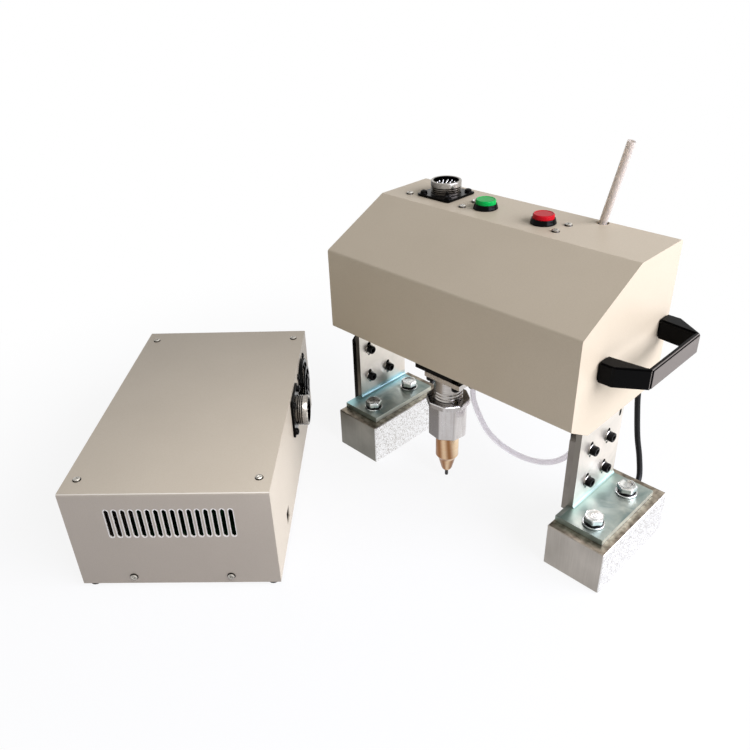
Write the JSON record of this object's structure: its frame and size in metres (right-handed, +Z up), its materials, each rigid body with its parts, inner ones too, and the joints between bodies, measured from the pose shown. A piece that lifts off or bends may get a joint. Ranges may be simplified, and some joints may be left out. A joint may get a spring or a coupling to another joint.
{
  "type": "nameplate marking machine",
  "caption": "Portable pneumatic marking head on two magnet feet with a hood and handles, and its separate controller box.",
  "frame": {"origin": "on the floor, at the middle of the outline that the head and the controller cover together", "axes": "+Z up, the head's hood runs along X and its front faces -Y"},
  "size_m": [0.5772, 0.4952, 0.3703],
  "materials": {
    "powder_coat": "fine-textured grey-beige powder coat",
    "zinc_plate": "pale blue zinc plate on steel",
    "plated_block": "ground and plated steel",
    "ground_steel": "ground bright steel",
    "dark_steel": "hardened dark steel",
    "motor_steel": "black lacquered laminations",
    "aluminium": "turned and milled aluminium",
    "black_anodised": "black anodised aluminium",
    "brass": "turned brass",
    "black_plastic": "satin moulded black plastic",
    "green_lens": "translucent green cap",
    "red_lens": "translucent red cap",
    "black_rubber": "matt black rubber",
    "clear_tube": "clear polyurethane tube",
    "board_green": "solder-masked circuit board"
  },
  "bodies": {
    "head": {"hood": "powder_coat", "chassis_plate_left": "black_anodised", "chassis_plate_right": "black_anodised", "rear_beam": "aluminium", "handle_left": "black_plastic", "handle_right": "black_plastic", "magnet_block_left": "plated_block", "magnet_block_right": "plated_block", "foot_bracket_left": "zinc_plate", "foot_bracket_right": "zinc_plate", "hex_bolt_left_front": "zinc_plate", "hex_bolt_left_rear": "zinc_plate", "hex_bolt_right_front": "zinc_plate", "hex_bolt_right_rear": "zinc_plate", "lead_gland_left": "black_plastic", "lead_gland_right": "black_plastic", "magnet_lead_left": "black_rubber", "magnet_lead_right": "black_rubber", "terminal_strip": "black_plastic", "x_shaft_front": "ground_steel", "x_shaft_rear": "ground_steel", "x_motor": "motor_steel", "solenoid_valve": "black_plastic", "air_hose": "clear_tube", "air_loop_tube": "clear_tube", "green_button_bezel": "black_plastic", "red_button_bezel": "black_plastic", "head_socket_shell": "dark_steel", "head_socket_insert": "black_plastic"},
    "x_carriage": {"x_carriage": "aluminium", "x_lead_nut": "brass", "y_rail_left": "ground_steel", "y_rail_right": "ground_steel", "y_motor": "motor_steel"},
    "x_screw": {"x_lead_screw": "ground_steel"},
    "y_carriage": {"y_slider": "black_anodised", "stylus_bracket": "black_anodised", "stylus_clamp": "aluminium", "stylus_body": "aluminium", "stylus_cap": "aluminium", "stylus_nose": "brass", "stylus_air_fitting": "black_plastic", "return_spring": "ground_steel"},
    "y_screw": {"y_lead_screw": "ground_steel"},
    "pin": {"marking_pin": "dark_steel"},
    "green_cap": {"green_button_cap": "green_lens"},
    "red_cap": {"red_button_cap": "red_lens"},
    "controller": {"case_base": "powder_coat", "case_cover": "powder_coat", "case_foot_front_left": "black_rubber", "case_foot_front_right": "black_rubber", "case_foot_rear_left": "black_rubber", "case_foot_rear_right": "black_rubber", "case_socket_shell": "dark_steel", "case_socket_insert": "black_plastic", "fan_frame": "black_plastic", "fan_guard": "black_plastic", "power_supply": "aluminium", "driver_board": "board_green"},
    "fan": {"fan_rotor": "black_plastic"}
  },
  "joints": [
    {"name": "x_slide", "type": "slide", "parent": "head", "child": "x_carriage", "axis": [1, 0, 0], "range_m": [-0.06, 0.085], "deforming": ["air_loop_tube"]},
    {"name": "x_screw_turn", "type": "hinge", "parent": "head", "child": "x_screw", "pos_m": [-0.06238, 0.20065, 0.244], "axis": [1, 0, 0], "range_deg": [-4050, 2850]},
    {"name": "y_slide", "type": "slide", "parent": "x_carriage", "child": "y_carriage", "axis": [0, 1, 0], "range_m": [0, 0.045], "deforming": ["air_loop_tube"]},
    {"name": "y_screw_turn", "type": "hinge", "parent": "x_carriage", "child": "y_screw", "pos_m": [0.07472, 0.09465, 0.198], "axis": [0, 1, 0], "range_deg": [-2230, 70]},
    {"name": "pin_stroke", "type": "slide", "parent": "y_carriage", "child": "pin", "axis": [0, 0, -1], "range_m": [0, 0.0048], "stiffness_N_per_m": 400, "springref_m": -0.003, "deforming": ["return_spring"]},
    {"name": "green_press", "type": "slide", "parent": "head", "child": "green_cap", "axis": [0, 0, -1], "range_m": [0, 0.0025], "stiffness_N_per_m": 600, "springref_m": -0.002},
    {"name": "red_press", "type": "slide", "parent": "head", "child": "red_cap", "axis": [0, 0, -1], "range_m": [0, 0.0025], "stiffness_N_per_m": 600, "springref_m": -0.002},
    {"name": "controller_lift", "type": "slide", "parent": "head", "child": "controller", "axis": [0, 0, 1], "range_m": [0, 0.25]},
    {"name": "fan_spin", "type": "hinge", "parent": "controller", "child": "fan", "pos_m": [-0.11217, 0.0526, 0.078], "axis": [0.7193, 0.6947, 0], "continuous": true}
  ],
  "couplings": [
    {"joint": "x_screw_turn", "follows": "x_slide", "rad_per_m": -785.4},
    {"joint": "y_screw_turn", "follows": "y_slide", "rad_per_m": -785.4}
  ]
}
